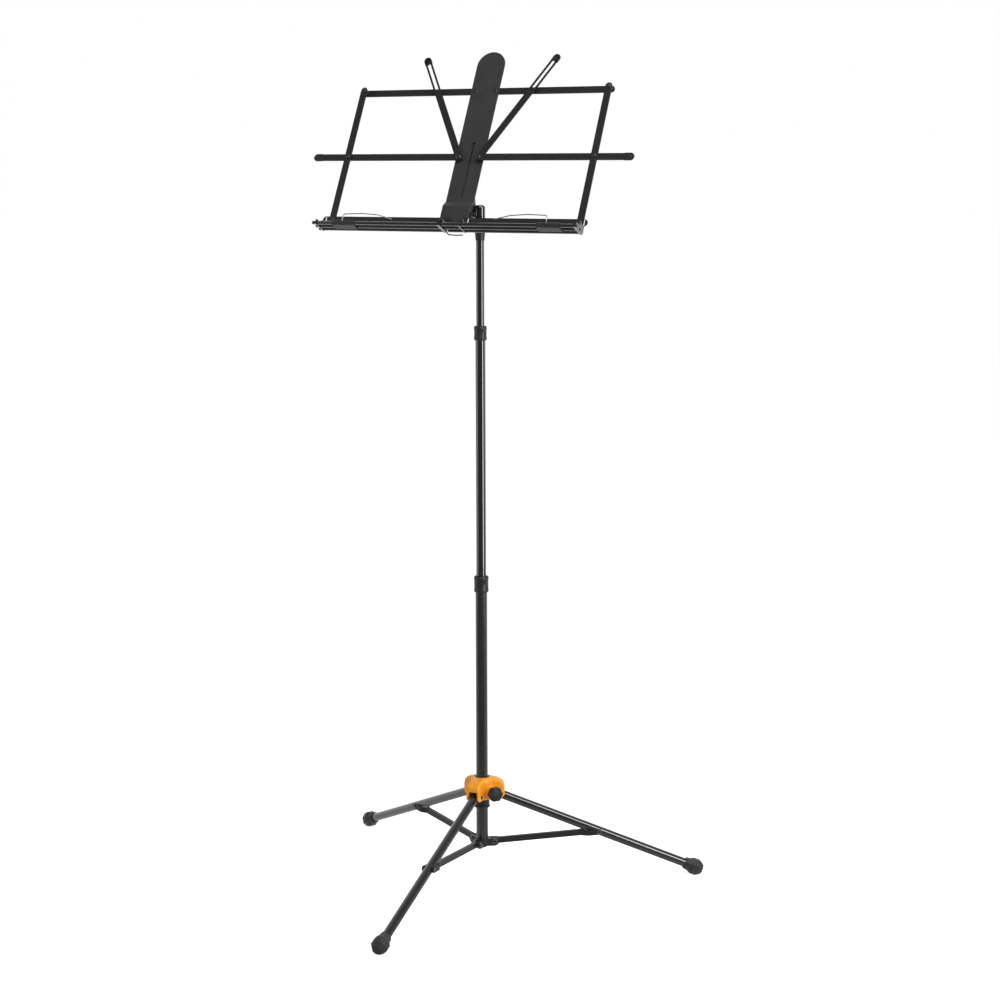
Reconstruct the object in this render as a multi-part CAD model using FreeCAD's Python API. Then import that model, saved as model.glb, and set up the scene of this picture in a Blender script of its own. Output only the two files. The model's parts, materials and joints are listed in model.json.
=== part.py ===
import FreeCAD, Part
import math
import os

# Folding music stand, opened for use.  Millimetres, +Z up, front of the desk facing -Y.
# The origin is on the mast axis at floor level.

V = FreeCAD.Vector
X, Y, Z = V(1, 0, 0), V(0, 1, 0), V(0, 0, 1)

# running clearance on the radius of every turning or sliding fit
RUN = 0.06

# mast tubes: outer radius, inner radius, bottom, top
LOWER = (8.0, 7.0, 60.0, 410.0)
MIDDLE = (6.7, 5.8, 358.0, 745.0)
UPPER = (5.45, 4.65, 548.0, 885.0)
LOWER_LOCK = (398.0, 420.0, 9.85)
UPPER_LOCK = (735.0, 754.0, 8.55)

# tripod
LEG_AZ = (32.0, 152.0, 272.0)
LEG_SLOPE = math.radians(22.5)
LEG_R = 6.0
LEG_PIVOT_R = 21.0
FOOT_R = 10.4
FOOT_S = (277.0, 297.0, 303.0)
FOOT_WORN = 1.0
LEG_PIVOT_Z = FOOT_S[1] * math.sin(LEG_SLOPE) + FOOT_R * math.cos(LEG_SLOPE) - FOOT_WORN
STRUT_S = 149.0
COLLAR_PIVOT = (16.3, 56.0)
CHEEK = (6.4, 7.9)
PIN_R = 2.0
PIN_BORE = 1.1
PIN_HEAD = (3.6, 1.25)
LEG_PIN_HALF = 6.1
RING_Z = (103.0, 106.5)
HUB_Z = (116.0, 146.0)
ARM_R = 30.0
ARM_HALF = 9.3
SLOT_HALF = 6.3
KNOB_AZ = 332.0
KNOB_Z = 128.0

# desk: bar hinge points from the middle of the spine's lowest rivets
TILT = 26.6
DESK_AT = V(-15.0, -42.0, 888.5)
HINGE_U = 14.5
ROW_MID = 94.0
ROW_TOP = 193.5
WING = 167.0
MID_REACH = 221.0
BAR_W = 9.5
BAR_T = 1.5
RIVET_R = 1.75
BRACE_U = 56.0
BRACE_REACH = 171.0
SPINE_W = 41.0
SPINE_V = (-7.0, 251.0)
STEP = 5.5

# back face of each layer of the desk, measured forwards from the spine's front face
TOP_W, BRACE_W, MID_W, SIDE_W, LEDGE_W = -3.4, 1.6, 3.5, 5.8, 7.7

# ledge rods: distance forwards, height, radius
RODS = (8.5, 17.5, 27.5)
ROD_V = -13.0
ROD_R = 2.4
LEFT_RODS = (-197.0, -8.0)
# the two page wires lie at different depths, so that they pass each other when folded
WIRE_W = {"left": 33.0, "right": 35.0}
RIGHT_RODS = (-2.0, 185.0)

# mast head and tilt hinge
TILT_Z = 904.5
HEAD_Z = (894.9, 912.5)
TILT_V = (TILT_Z - DESK_AT.z) * math.cos(math.radians(TILT)) + 42.0 * math.sin(math.radians(TILT))
TILT_W = (TILT_Z - DESK_AT.z) * math.sin(math.radians(TILT)) - 42.0 * math.cos(math.radians(TILT))


def cyl(r, a, b):
    """Solid round bar of radius r from point a to point b."""
    d = b - a
    return Part.makeCylinder(r, d.Length, a, d)


def rod(r, z0, z1):
    """Upright round bar on the mast axis."""
    return cyl(r, V(0, 0, z0), V(0, 0, z1))


def turned(profile):
    """Solid of revolution about Z from (radius, height) points."""
    pts = [V(r, 0, z) for r, z in profile]
    return Part.Face(Part.makePolygon(pts + pts[:1])).revolve(V(), Z, 360)


def join(*shapes):
    """One solid from overlapping solids."""
    out = shapes[0].fuse(list(shapes[1:]))
    return out.removeSplitter()


def group(shapes):
    """Separate solids kept together as one piece."""
    return Part.makeCompound(list(shapes))


def slab(points, axis, a, b):
    """Flat polygon raised along one axis from a to b; points lie across that axis."""
    if axis == "x":
        pts = [V(a, p, q) for p, q in points]
        lift = V(b - a, 0, 0)
    else:
        pts = [V(p, a, q) for p, q in points]
        lift = V(0, b - a, 0)
    return Part.Face(Part.makePolygon(pts + pts[:1])).extrude(lift)


def export(name, shape):
    shape.exportStep("parts/%s.step" % name)


def at_leg(shape, az):
    """Turn a piece drawn along +X to a leg's direction."""
    s = shape.copy()
    s.rotate(V(), Z, az)
    return s


def on_desk(shape):
    """Lean a piece drawn upright (u = X, forwards = -Y, v = Z) and put it on the stand."""
    s = shape.copy()
    s.rotate(V(), X, -TILT)
    s.translate(DESK_AT)
    return s


def uvw(u, v, w):
    return V(u, -w, v)


def pin(u, v, w0, w1, r=RIVET_R):
    """Round pin standing on the desk between two depths."""
    return cyl(r, uvw(u, v, w0), uvw(u, v, w1))


def dome(u, v, w, r, height, up=1):
    """Low domed rivet head whose flat side is at depth w."""
    big = (r * r + height * height) / (2 * height)
    ball = Part.makeSphere(big, uvw(u, v, w + up * (height - big)))
    return ball.common(pin(u, v, w, w + up * (height + 1), r))


def bar(a, b, w, width=BAR_W, thick=BAR_T):
    """Flat bar with round ends between two (u, v) points; back face at depth w."""
    d = V(b[0] - a[0], 0, b[1] - a[1])
    side = V(-d.z, 0, d.x).normalize() * (width / 2)
    p, q = V(a[0], -w, a[1]), V(b[0], -w, b[1])
    face = Part.Face(Part.makePolygon([p + side, q + side, q - side, p - side, p + side]))
    body = face.extrude(V(0, -thick, 0))
    ends = [cyl(width / 2, c, c + V(0, -thick, 0)) for c in (p, q)]
    return join(body, *ends)


def drill(shape, holes, w, thick=BAR_T):
    """Cut pin holes, each (u, v, radius), through a bar."""
    return shape.cut([pin(u, v, w - 1, w + thick + 1, r) for u, v, r in holes])


# ---------------------------------------------------------------- mast

def tube(name, size):
    r, bore, z0, z1 = size
    body = rod(r, z0, z1).cut(rod(bore, z0 - 1, z1 + 1))
    export(name, body)


def lock_collar(name, size, outer, inner):
    z0, z1, r = size
    rim = 1.2
    body = turned([(0, z0), (r - rim, z0), (r, z0 + rim), (r, z1 - rim), (r - rim, z1), (0, z1)])
    body = body.cut([rod(outer[0], z0 - 1, outer[3]), rod(inner[0] + RUN, z0 - 1, z1 + 1)])
    step = rod(outer[0] + 0.4, z1 - 1.5, z1 + 1)
    export(name, body.cut(step))


def tube_foot(name, tube_size, around):
    """Guide plug on the lower end of a sliding tube."""
    z = tube_size[2]
    flange = rod(around[1] - RUN, z - 6, z)
    export(name, join(flange, rod(tube_size[1], z - 6, z + 8)).cut(rod(2.0, z - 9, z + 9)))


def mast():
    tube("mast_lower_tube", LOWER)
    tube("mast_middle_tube", MIDDLE)
    tube("mast_upper_tube", UPPER)
    lock_collar("lower_lock_collar", LOWER_LOCK, LOWER, MIDDLE)
    lock_collar("upper_lock_collar", UPPER_LOCK, MIDDLE, UPPER)
    tube_foot("middle_tube_guide", MIDDLE, LOWER)
    tube_foot("upper_tube_guide", UPPER, MIDDLE)
    ring = Part.makeTorus(9.0, 1.75, V(0, 0, sum(RING_Z) / 2))
    export("stop_ring", ring.fuse(rod(9.0, RING_Z[0] + 0.4, RING_Z[1] - 0.4)).cut(rod(8.0, 90, 120)))


# ---------------------------------------------------------------- tripod

def bottom_collar():
    r, z = COLLAR_PIVOT
    body = turned([(0, 47.5), (5.5, 47.5), (8.0, 49.5), (8.6, 52), (8.6, 60), (0, 60)])
    body = join(body, rod(LOWER[1], 55, 80))
    for az in LEG_AZ:
        ear = Part.makeBox(r, 2 * 6.1, 12.4, V(0, -6.1, z - 6.2))
        ear = ear.fuse(cyl(6.2, V(r, -6.1, z), V(r, 6.1, z)))
        ear = ear.common(Part.makeBox(30, 20, 10.6, V(0, -10, z - 6.6)))
        slot = Part.makeBox(12, 5.0, 20, V(r - 5.0, -2.5, z - 10))
        body = body.fuse(at_leg(ear.cut(slot), az))
    tools = [rod(4.0, 46, 76)]
    tools += [at_leg(cyl(PIN_R, V(r, -9, z), V(r, 9, z)), az) for az in LEG_AZ]
    export("bottom_collar", body.cut(tools).removeSplitter())


def collar_rivet(r, z, half):
    """Tubular rivet across an ear, with a rolled head at each end."""
    head, thick = PIN_HEAD
    body = cyl(PIN_R, V(r, -half - 0.6, z), V(r, half + 0.6, z))
    for s in (-1, 1):
        body = body.fuse(cyl(head, V(r, s * (half + 0.25), z), V(r, s * (half + thick), z)))
    return body.cut(cyl(PIN_BORE, V(r, -half - 2, z), V(r, half + 2, z)))


def leg_pin(r, z):
    """Tubular shank of the leg rivet, inside the leg; its rolled heads are on the strut."""
    half = LEG_PIN_HALF
    return cyl(PIN_R, V(r, -half, z), V(r, half, z)).cut(cyl(PIN_BORE, V(r, -half - 1, z), V(r, half + 1, z)))


def strut_end():
    """Radius and height of the strut pin on a leg."""
    return (LEG_PIVOT_R + STRUT_S * math.cos(LEG_SLOPE), LEG_PIVOT_Z - STRUT_S * math.sin(LEG_SLOPE))


def strut():
    """Folded channel: two long cheeks joined along the top, with the leg rivet's heads outside.

    The strut passes the leg freely part of the way through the fold, so nothing of it
    reaches in between its cheeks there.
    """
    (r0, z0), (r1, z1) = COLLAR_PIVOT, strut_end()
    length = math.hypot(r1 - r0, z1 - z0)
    lean = math.degrees(math.atan2(z1 - z0, r1 - r0))
    parts = []
    for s in (-1, 1):
        y0, y1 = s * CHEEK[0], s * CHEEK[1]
        low, high = min(y0, y1), max(y0, y1)
        cheek = Part.makeBox(length, high - low, 9.6, V(0, low, -4.8))
        for c in (0, length):
            cheek = cheek.fuse(cyl(4.8, V(c, low, 0), V(c, high, 0)))
        head, thick = PIN_HEAD
        cheek = cheek.fuse(cyl(head, V(length, s * CHEEK[1], 0), V(length, s * (CHEEK[1] + thick), 0)))
        parts.append(cheek)
    web = Part.makeBox(46, 2 * CHEEK[1], 1.2, V(12, -CHEEK[1], 3.6))
    body = join(parts[0], parts[1], web)
    holes = [cyl(r, V(c, -20, 0), V(c, 20, 0)) for c, r in ((0, PIN_R + RUN), (length, PIN_BORE))]
    body = body.cut(holes)
    body.rotate(V(), Y, -lean)
    body.translate(V(r0, 0, z0))
    return body


def along_leg(s, y=0.0):
    return V(LEG_PIVOT_R + s * math.cos(LEG_SLOPE), y, LEG_PIVOT_Z - s * math.sin(LEG_SLOPE))


def leg():
    body = join(cyl(LEG_R, along_leg(0), along_leg(299)), Part.makeSphere(LEG_R, along_leg(0)))
    bore = cyl(4.9, along_leg(14), along_leg(300))
    r, z = strut_end()
    pins = [cyl(PIN_R + RUN, along_leg(0, -9), along_leg(0, 9)), cyl(PIN_R, V(r, -9, z), V(r, 9, z))]
    return body.cut([bore] + pins)


def octagon(s, apothem):
    """Eight-sided ring of points across the leg, one flat facing the floor."""
    out = []
    down = V(-math.sin(LEG_SLOPE), 0, -math.cos(LEG_SLOPE))
    big = apothem / math.cos(math.pi / 8)
    for k in range(8):
        a = math.pi / 8 + k * math.pi / 4
        out.append(along_leg(s) + down * (big * math.cos(a)) + Y * (big * math.sin(a)))
    return Part.makePolygon(out + out[:1])


def foot():
    rings = [octagon(FOOT_S[0], 7.4), octagon(FOOT_S[0] + 6, 8.0), octagon(FOOT_S[0] + 11, FOOT_R),
             octagon(FOOT_S[1], FOOT_R), octagon(FOOT_S[2], 6.4)]
    body = Part.makeLoft(rings, True, True).cut(cyl(LEG_R, along_leg(270), along_leg(299)))
    return body.cut(Part.makeBox(400, 60, 20, V(0, -30, -20)))


def legs():
    r, z = strut_end()
    for n, az in enumerate(LEG_AZ, 1):
        export("leg_%d" % n, at_leg(leg(), az))
        export("foot_%d" % n, at_leg(foot(), az))
        export("leg_rivet_%d" % n, at_leg(leg_pin(r, z), az))
        export("strut_%d" % n, at_leg(strut(), az))
    cr, cz = COLLAR_PIVOT
    export("collar_rivets", group(at_leg(collar_rivet(cr, cz, CHEEK[1]), az) for az in LEG_AZ))


def hub():
    z0, z1 = HUB_Z
    body = turned([(0, z0), (14.5, z0), (15.5, z0 + 1), (15.5, z1 - 5), (13.0, z1 - 1.2), (10.4, z1), (0, z1)])
    for az in LEG_AZ:
        top = [(0, z0 + 1), (0, z1 - 1), (12, z1 - 1), (22, z1 - 3.5), (28, z1 - 7), (ARM_R, z1 - 10),
               (ARM_R, z0 + 5), (26, z0 + 1)]
        pts = [V(r, -ARM_HALF, z) for r, z in top]
        arm = Part.Face(Part.makePolygon(pts + pts[:1])).extrude(V(0, 2 * ARM_HALF, 0))
        soft = [e for e in arm.Edges if e.BoundBox.YLength < 0.1 and e.BoundBox.ZMin > z0 + 15
                and e.BoundBox.XMin > 8]
        arm = arm.makeFillet(3.2, soft)
        body = body.fuse(at_leg(arm, az))
    boss = cyl(6.5, V(0, 0, KNOB_Z), V(22, 0, KNOB_Z))
    body = body.fuse(at_leg(boss, KNOB_AZ)).removeSplitter()
    tools = [rod(10.0, z0 - 1, z1 + 1), at_leg(cyl(3.0 + RUN, V(5, 0, KNOB_Z), V(30, 0, KNOB_Z)), KNOB_AZ)]
    for az in LEG_AZ:
        roof = Part.makeBox(30, 2 * SLOT_HALF, LEG_PIVOT_Z + 8.2 - z0 + 2, V(12.2, -SLOT_HALF, z0 - 2))
        hole = cyl(PIN_R, V(LEG_PIVOT_R, -12, LEG_PIVOT_Z), V(LEG_PIVOT_R, 12, LEG_PIVOT_Z))
        tools += [at_leg(roof, az), at_leg(hole, az)]
    export("leg_hub", body.cut(tools))
    liner = rod(10.0, RING_Z[1] + 0.3, z1 + 1.2).cut(rod(LOWER[0] + RUN, 90, 160))
    liner = liner.cut(at_leg(cyl(3.0 + RUN, V(0, 0, KNOB_Z), V(30, 0, KNOB_Z)), KNOB_AZ))
    export("hub_liner", liner)
    half = ARM_HALF - 1.4
    a, b = V(LEG_PIVOT_R, -half, LEG_PIVOT_Z), V(LEG_PIVOT_R, half, LEG_PIVOT_Z)
    export("hub_pins", group(at_leg(cyl(PIN_R, a, b), az) for az in LEG_AZ))


def lobed(r, r_lobe, count, x0, x1):
    """Hand knob turned about X with rounded lobes round its rim."""
    body = cyl(r, V(x0, 0, 0), V(x1, 0, 0))
    for k in range(count):
        a = 2 * math.pi * k / count
        c = V(0, r * math.cos(a), r * math.sin(a))
        body = body.fuse(cyl(r_lobe, V(x0, 0, 0) + c, V(x1, 0, 0) + c))
    body = body.removeSplitter()
    rim = [e for e in body.Edges if e.BoundBox.XLength < 0.01]
    return body.makeFillet(1.2, rim)


def hub_knob():
    knob = join(lobed(7.4, 3.2, 6, 26.5, 38), cyl(5.0, V(23.5, 0, 0), V(27, 0, 0)))
    knob = join(knob, cyl(3.0, V(8.4, 0, 0), V(24, 0, 0)))
    knob.translate(V(0, 0, KNOB_Z))
    export("hub_knob", at_leg(knob, KNOB_AZ))


# ---------------------------------------------------------------- mast head

def head():
    z0 = 866.0
    socket = turned([(0, z0), (5.9, z0), (6.7, z0 + 9), (6.7, 889.5), (9.0, 890.2), (9.0, 893.8), (8.3, 894.5),
                     (4.0, 894.5), (4.0, 901.0), (0, 901.0)])
    export("head_socket", socket.cut(rod(UPPER[0], z0 - 1, UPPER[3])))
    body = rod(7.0, *HEAD_Z)
    body = body.makeFillet(4.0, [e for e in body.Edges if e.BoundBox.ZMin > HEAD_Z[1] - 0.1])
    lug = cyl(6.5, V(0, 0, TILT_Z), V(-7.4, 0, TILT_Z)).common(rod(20, HEAD_Z[0] + 0.6, HEAD_Z[1] - 0.6))
    body = join(body, lug).cut(rod(4.0 + RUN, 890, 901.3))
    export("mast_head", join(body, cyl(2.2, V(0, 0, TILT_Z), V(-24, 0, TILT_Z))))
    knob = join(lobed(9.0, 3.6, 5, 2, 12), cyl(5.5, V(0, 0, 0), V(3, 0, 0)))
    knob = knob.cut(cyl(2.2 + RUN, V(-2, 0, 0), V(14.5, 0, 0)))
    knob.rotate(V(), Z, 180)
    knob.translate(V(-10.4, 0, TILT_Z))
    export("tilt_knob", knob)


# ---------------------------------------------------------------- desk

def spine():
    v0, v1 = SPINE_V
    r = SPINE_W / 2
    side = [(0, v1 + 1), (BAR_T, v1 + 1), (BAR_T, 31.5), (BAR_T - STEP, 23.5), (BAR_T - STEP, v0 - 1),
            (-STEP, v0 - 1), (-STEP, 23.8), (0, 31.8)]
    sheet = slab(side, "x", -r, r)
    outline = join(slab([(-r, v0), (r, v0), (r, v1 - r), (-r, v1 - r)], "y", -20, 20),
                   cyl(r, V(0, -20, v1 - r), V(0, 20, v1 - r)))
    corners = [e for e in outline.Edges if e.BoundBox.YLength > 30 and e.BoundBox.ZMax < v0 + 0.1]
    sheet = sheet.common(outline.makeFillet(5.0, corners))
    holes = [(s * HINGE_U, v, RIVET_R) for s in (-1, 1) for v in (0, ROW_MID, ROW_TOP)]
    sheet = sheet.cut([pin(u, v, -10, 10, rr) for u, v, rr in holes])
    slot = bar((1.5, 38.5), (1.5, 113), -5, 3.2, 10).fuse(pin(1.5, 115, -5, 5, 2.5))
    export("spine_plate", on_desk(sheet.cut(slot)))
    base = slab([(-8.5, 36), (8.5, 36), (8.5, 84), (-8.5, 84)], "y", BAR_T, BAR_T + 2)
    c = uvw(0, TILT_V, TILT_W)
    ear = slab([(BAR_T, 37), (BAR_T, 80), (c.y - 1, c.z + 8.5), (c.y + 8, c.z + 3), (c.y + 4, c.z - 7.5),
                (c.y - 6, c.z - 6)], "x", 5.2, 7.3)
    bracket = join(base, ear, cyl(8.5, V(5.2, c.y, c.z), V(7.3, c.y, c.z)))
    export("spine_bracket", on_desk(bracket.cut(cyl(2.2 + RUN, V(0, c.y, c.z), V(12, c.y, c.z)))))


def spine_rivets():
    low, mid, top = [], [], []
    for s in (-1, 1):
        u = s * HINGE_U
        face = LEDGE_W + BAR_T
        low.append(join(pin(u, 0, 3.2, face + 0.6), dome(u, 0, face + 0.3, 4.0, 1.7),
                        pin(u, 0, STEP, LEDGE_W - 0.3, 4.0), pin(u, 0, 3.0, 4.0, 3.0)))
        face = MID_W + BAR_T
        mid.append(join(pin(u, ROW_MID, -2.2, face + 0.6), dome(u, ROW_MID, face + 0.3, 4.2, 1.7),
                        pin(u, ROW_MID, 0, BRACE_W - 0.3, 4.5), pin(u, ROW_MID, -2.3, -1.5, 3.0)))
        top.append(join(pin(u, ROW_TOP, TOP_W - 1.2, 0.4), dome(u, ROW_TOP, 0, 3.4, 1.2),
                        pin(u, ROW_TOP, TOP_W - 1.2, TOP_W - 0.3, 3.2)))
    export("spine_rivets", on_desk(group(low + mid + top)))


def top_bar(name, s):
    """Top wing bar with its corner rivet and the guide post that backs the brace at its slot."""
    a, b = (s * HINGE_U, ROW_TOP), (s * (HINGE_U + WING), ROW_TOP)
    g = (s * (HINGE_U + BRACE_U), ROW_TOP)
    body = drill(bar(a, b, TOP_W), [a + (RIVET_R + RUN,), b + (RIVET_R,), g + (RIVET_R,)], TOP_W)
    front = SIDE_W + BAR_T
    corner = join(pin(b[0], b[1], TOP_W - 0.8, front + 0.6), dome(b[0], b[1], front + 0.3, 3.6, 1.5),
                  pin(b[0], b[1], TOP_W + BAR_T, SIDE_W - 0.3, 3.2), pin(b[0], b[1], TOP_W - 0.9, TOP_W, 3.0))
    guide = join(pin(g[0], g[1], TOP_W - 0.8, TOP_W + BAR_T), pin(g[0], g[1], TOP_W - 0.9, TOP_W, 3.0),
                 pin(g[0], g[1], TOP_W + BAR_T, BRACE_W - 0.3, 2.5))
    export(name + "_top_bar", on_desk(body))
    export(name + "_top_bar_pins", on_desk(group([corner, guide])))


def middle_bar(name, s):
    """Middle wing bar, its end cap and the rivet where the side bar crosses it."""
    a, c = (s * HINGE_U, ROW_MID), (s * (HINGE_U + WING), ROW_MID)
    tip = s * (HINGE_U + MID_REACH - BAR_W / 2)
    body = bar(a, (tip, ROW_MID), MID_W)
    body = drill(body, [a + (RIVET_R + RUN,), c + (RIVET_R,)], MID_W)
    start = tip - s * 9
    cap = bar((start, ROW_MID), (tip, ROW_MID), MID_W - 0.4, BAR_W + 0.9, BAR_T + 0.8)
    square = slab([(start - s * 9, ROW_MID - 9), (start, ROW_MID - 9), (start, ROW_MID + 9),
                   (start - s * 9, ROW_MID + 9)], "y", -9, 2)
    cap = cap.cut([square, bar((0, ROW_MID), (tip, ROW_MID), MID_W)])
    cap = cap.cut(pin(tip, ROW_MID, MID_W + BAR_T, MID_W + 5, 1.3))
    face = SIDE_W + BAR_T
    cross = join(pin(c[0], c[1], MID_W, face + 0.6), dome(c[0], c[1], face + 0.3, 3.3, 1.4),
                 pin(c[0], c[1], MID_W + BAR_T, SIDE_W - 0.3, 3.2))
    export(name + "_middle_bar", on_desk(body))
    export(name + "_middle_bar_cap", on_desk(cap))
    export(name + "_cross_rivet", on_desk(cross))


def side_bar(name, s):
    u = s * (HINGE_U + WING)
    rows = (0, ROW_MID, ROW_TOP)
    body = bar((u, 0), (u, ROW_TOP), SIDE_W)
    export(name + "_side_bar", on_desk(drill(body, [(u, v, RIVET_R + RUN) for v in rows], SIDE_W)))


def brace(name, s):
    """Slotted stay from the middle rivet up past the top bar, with a tip sleeve."""
    run, rise = s * BRACE_U, ROW_TOP - ROW_MID
    length = math.hypot(run, rise)
    d = (run / length, rise / length)

    def spot(k):
        return (s * HINGE_U + d[0] * k, ROW_MID + d[1] * k)

    body = bar(spot(0), spot(BRACE_REACH - BAR_W / 2), BRACE_W)
    slot = bar(spot(length), spot(rise + BRACE_U + 4), BRACE_W - 1, 2 * RIVET_R + 0.9, BAR_T + 2)
    body = body.cut([slot, pin(spot(0)[0], spot(0)[1], 0, 5, RIVET_R + RUN)])
    end, back = spot(BRACE_REACH - BAR_W / 2), spot(BRACE_REACH - BAR_W / 2 - 4)
    sleeve = bar(back, end, BRACE_W - 0.8, BAR_W + 1.2, BAR_T + 0.8)
    keep = bar(spot(BRACE_REACH - 10), spot(BRACE_REACH + 20), BRACE_W - 2, 24, 8)
    sleeve = sleeve.common(keep).cut(bar(spot(0), end, BRACE_W))
    export(name + "_brace", on_desk(body))
    export(name + "_brace_tip", on_desk(sleeve))


def bracket(u0, u1):
    """Cross plate under the ledge bar that carries the rods."""
    pts = [(-LEDGE_W, 4.6), (-LEDGE_W - 4, 4.6), (-20, -9), (-31, -9.6), (-31, -16.2), (-LEDGE_W, -16.2)]
    return slab(pts, "x", u0, u1)


def wire(points, r=0.8):
    """Bent spring wire: straight runs with ball corners."""
    pts = [uvw(*p) for p in points]
    runs = [cyl(r, a, b) for a, b in zip(pts, pts[1:])]
    return join(*(runs + [Part.makeSphere(r, p) for p in pts[1:]]))


def ledge_hook():
    """Sprung hook on the left half that passes under the right half's rods."""
    return wire([(-5.8, -13.0, 9.2), (-2.8, -17.2, 4.9), (8, -18.2, 4.9), (18, -17.6, 4.9)])


def ledge(name, s, rods):
    """Half of the ledge: hinged bar, three rods, cross plates and the rivet of the side bar."""
    a, b = (s * HINGE_U, 0.0), (s * (HINGE_U + WING), 0.0)
    ends = [(rods[1], rods[1] + 4), (rods[0] + 24.5, rods[0] + 26.5)] if s > 0 else \
           [(rods[1], rods[1] + 4.2), (b[0] - 9.5, b[0] - 7.5)]
    left = min(a[0], b[0], ends[0][0] + 1, ends[1][0] + 1)
    right = max(a[0], b[0], ends[0][1] - 1)
    body = bar((left, 0), (right, 0), LEDGE_W)
    plates = [bracket(*e) for e in ends]
    body = body.cut(plates)
    body = drill(body, [a + (RIVET_R + RUN,), b + (RIVET_R,)], LEDGE_W)
    bars = [cyl(ROD_R, uvw(rods[0], ROD_V, w), uvw(rods[1], ROD_V, w)) for w in RODS]
    plates[1] = plates[1].cut(bars)
    face = LEDGE_W + BAR_T
    rivet = join(pin(b[0], 0, SIDE_W, face + 0.4), dome(b[0], 0, face, 3.6, 1.5))
    stub = [cyl(1.6, uvw(ends[0][1], ROD_V, w), uvw(ends[0][1] + 1, ROD_V, w)) for w in RODS[1:]]
    export(name + "_ledge_bar", on_desk(body))
    export(name + "_ledge_rods", on_desk(group(bars)))
    welded = [join(plates[0], *stub, *([ledge_hook()] if s < 0 else [])), plates[1]]
    export(name + "_ledge_plates", on_desk(group(welded)))
    export(name + "_ledge_rivet", on_desk(rivet))


def page_holder(name, s):
    """Rubber sleeve round the two front rods and the spring wire that turns in it."""
    u = s * 149.0
    lo, hi = RODS[1] - 3.6, RODS[2] + 3.4
    sleeve = slab([(-hi, -16.6), (-lo, -16.6), (-lo, -9.4), (-hi, -9.4)], "x", u - 16, u + 16)
    sleeve = sleeve.makeFillet(2.6, [e for e in sleeve.Edges if e.BoundBox.XLength > 30])
    holes = [cyl(ROD_R, uvw(u - 20, ROD_V, w), uvw(u + 20, ROD_V, w)) for w in RODS[1:]]
    core = cyl(0.8 + RUN, uvw(u, ROD_V, RODS[2] + ROD_R + 0.1), uvw(u, ROD_V, 40))
    export(name + "_page_sleeve", on_desk(sleeve.cut(holes + [core])))
    w = WIRE_W[name]
    path = [(u, ROD_V, RODS[2] + ROD_R + 0.2), (u, ROD_V, w), (u, -4.5, w), (u - s * 2, -2.6, w),
            (u - s * 28, -1.6, w), (u - s * 52, -3.4, w), (u - s * 74, -9.0, w)]
    export(name + "_page_wire", on_desk(wire(path)))


def wings():
    for name, s, rods in (("left", -1, LEFT_RODS), ("right", 1, RIGHT_RODS)):
        top_bar(name, s)
        middle_bar(name, s)
        side_bar(name, s)
        brace(name, s)
        ledge(name, s, rods)
        page_holder(name, s)


def main():
    os.makedirs("parts", exist_ok=True)
    mast()
    bottom_collar()
    hub()
    hub_knob()
    legs()
    head()
    spine()
    spine_rivets()
    wings()


main()
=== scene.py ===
import json
import math

import bmesh
import bpy
from bpy.props import FloatProperty, FloatVectorProperty, IntProperty, PointerProperty
from mathutils import Matrix, Vector


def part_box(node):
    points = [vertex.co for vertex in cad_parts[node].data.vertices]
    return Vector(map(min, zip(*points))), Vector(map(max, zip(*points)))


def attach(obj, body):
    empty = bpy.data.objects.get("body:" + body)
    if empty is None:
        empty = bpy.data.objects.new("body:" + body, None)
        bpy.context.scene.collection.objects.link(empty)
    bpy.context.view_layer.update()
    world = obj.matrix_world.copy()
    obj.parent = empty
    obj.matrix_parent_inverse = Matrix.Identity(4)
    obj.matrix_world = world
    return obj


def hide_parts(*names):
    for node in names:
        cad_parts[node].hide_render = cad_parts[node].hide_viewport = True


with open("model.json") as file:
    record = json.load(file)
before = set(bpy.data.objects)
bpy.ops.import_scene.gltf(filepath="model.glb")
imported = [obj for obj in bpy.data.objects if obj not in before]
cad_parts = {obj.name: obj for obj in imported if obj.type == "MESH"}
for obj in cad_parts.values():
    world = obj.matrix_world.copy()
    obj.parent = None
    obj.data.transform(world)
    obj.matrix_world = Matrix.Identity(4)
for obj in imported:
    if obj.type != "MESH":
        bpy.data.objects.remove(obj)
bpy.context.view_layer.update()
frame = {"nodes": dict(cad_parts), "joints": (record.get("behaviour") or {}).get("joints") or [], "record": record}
RECORD = frame["record"]
NODES = frame["nodes"]
BODY_OF = {node: body for body, nodes in RECORD["behaviour"]["bodies"].items() for node in nodes}
SLOT_OF = {part["node"]: part["material_slot"] for part in RECORD["subparts"]}
JOINTS = {joint["name"]: joint for joint in frame["joints"]}

bl_info = {
    "name": "Folding music stand",
    "version": (1, 0, 0),
    "blender": (4, 5, 0),
    "location": "View3D > Sidebar > Stand",
    "description": "Finishes the pieces of a folding music stand: tripod, telescoping mast and wire ledge desk",
    "category": "Add Mesh",
}

SEAM = 1e-6            # vertices nearer than this are one vertex
FLAT = math.radians(1.0)
SMOOTH = math.radians(38.0)
SIDES = (("left", -1), ("right", 1))
LEGS = (1, 2, 3)


def mm(length):
    """Millimetres to metres."""
    return length / 1000


def linear(code):
    """Linear colour of an sRGB hex code."""
    parts = [int(code[i:i + 2], 16) / 255 for i in (0, 2, 4)]
    return tuple(c / 12.92 if c <= 0.04045 else ((c + 0.055) / 1.055) ** 2.4 for c in parts)


def colour_property(name, description, code):
    return FloatVectorProperty(name=name, description=description, default=linear(code),
                               size=3, min=0.0, max=1.0, subtype="COLOR")


def length_property(name, description, millimetres):
    return FloatProperty(name=name, description=description, default=mm(millimetres),
                         min=0.0, subtype="DISTANCE", unit="LENGTH")


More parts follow.
